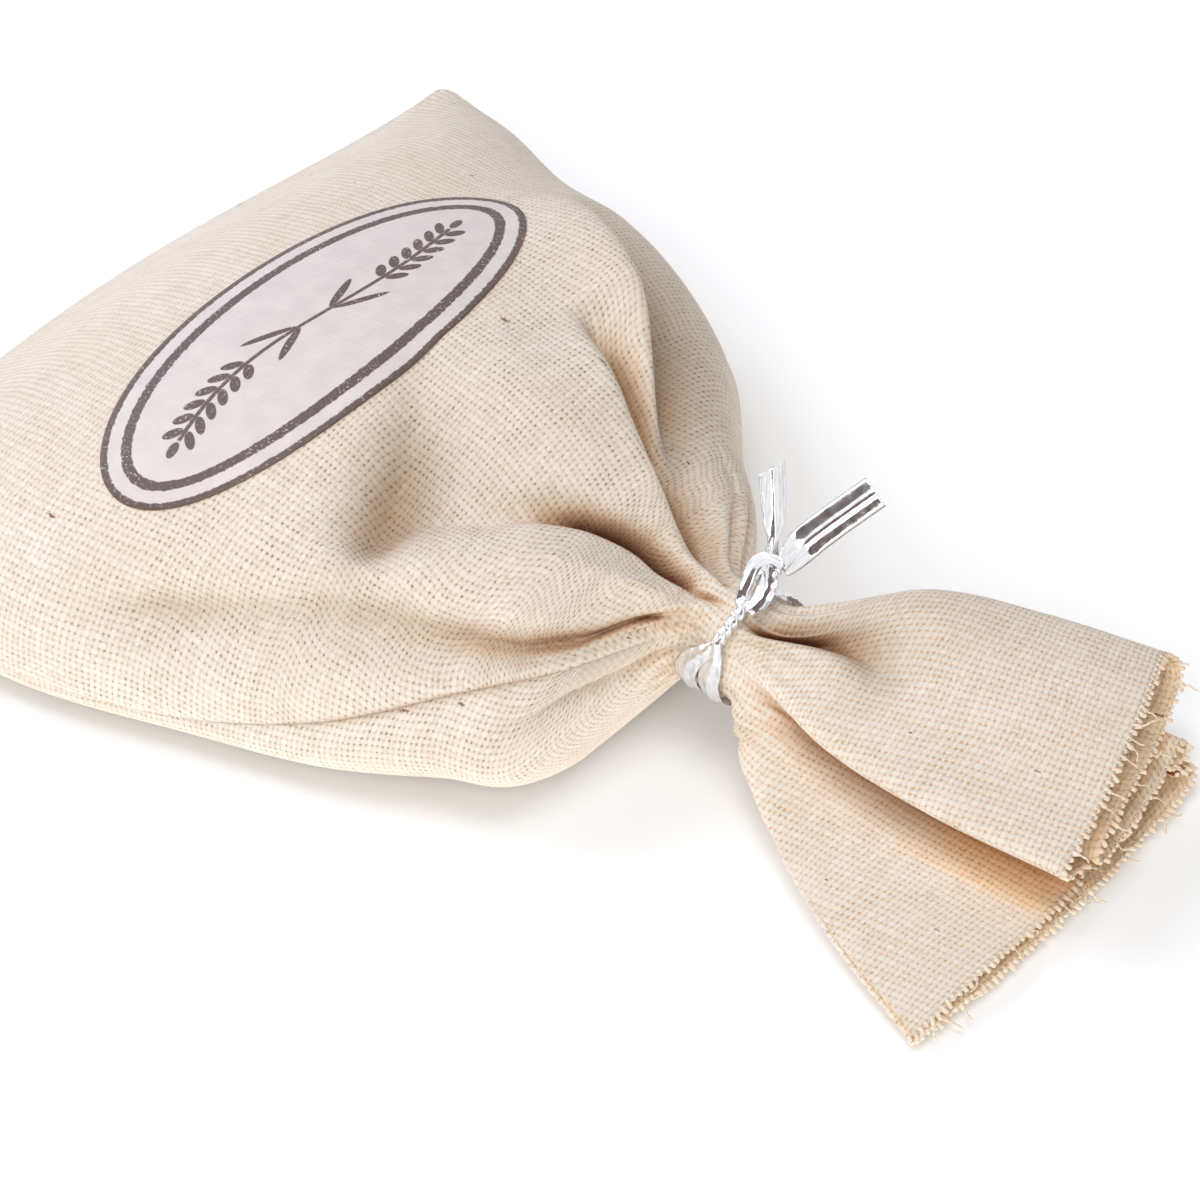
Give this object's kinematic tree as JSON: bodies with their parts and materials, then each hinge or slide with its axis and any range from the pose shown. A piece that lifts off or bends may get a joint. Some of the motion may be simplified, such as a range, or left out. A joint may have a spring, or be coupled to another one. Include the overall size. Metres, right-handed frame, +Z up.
{
  "type": "lavender sachet",
  "caption": "Plump cotton bag of dried lavender lying on its back, gathered at the neck by a wound wire twist tie, with a flared ruffle mouth and an oval label; scents drawers and linen.",
  "frame": {"origin": "on the table under the middle of the whole sachet", "axes": "+X from the bottom seam to the open mouth, +Y across the bag to the far side seam, +Z up"},
  "size_m": [0.1482, 0.108, 0.0336],
  "materials": {
    "cotton_cloth": "unbleached slubby plain weave, matte",
    "seam_thread": "spun thread, matte",
    "lavender": "loose dried buds",
    "label_print": "worn transfer print, matte",
    "tie_film": "crinkled metallised film",
    "tie_wire": "drawn wire"
  },
  "bodies": {
    "sachet": {"front_panel": "cotton_cloth", "back_panel": "cotton_cloth", "near_side_seam": "seam_thread", "far_side_seam": "seam_thread", "bottom_seam": "seam_thread", "lavender_fill": "lavender", "label_print": "label_print", "tie_film": "tie_film", "tie_wire": "tie_wire"},
    "narrow_tail": {"narrow_tail_film": "tie_film", "narrow_tail_wire": "tie_wire"},
    "broad_tail": {"broad_tail_film": "tie_film", "broad_tail_wire": "tie_wire"}
  },
  "joints": [
    {"name": "narrow_tail_bend", "type": "hinge", "parent": "sachet", "child": "narrow_tail", "pos_m": [0.0275, 0.00345, 0.02445], "axis": [-0.8356, -0.5336, 0.1308], "range_deg": [-45, 45]},
    {"name": "broad_tail_bend", "type": "hinge", "parent": "sachet", "child": "broad_tail", "pos_m": [0.02971, 0.0028, 0.02503], "axis": [-0.8484, -0.02, 0.529], "range_deg": [-60, 35]}
  ]
}
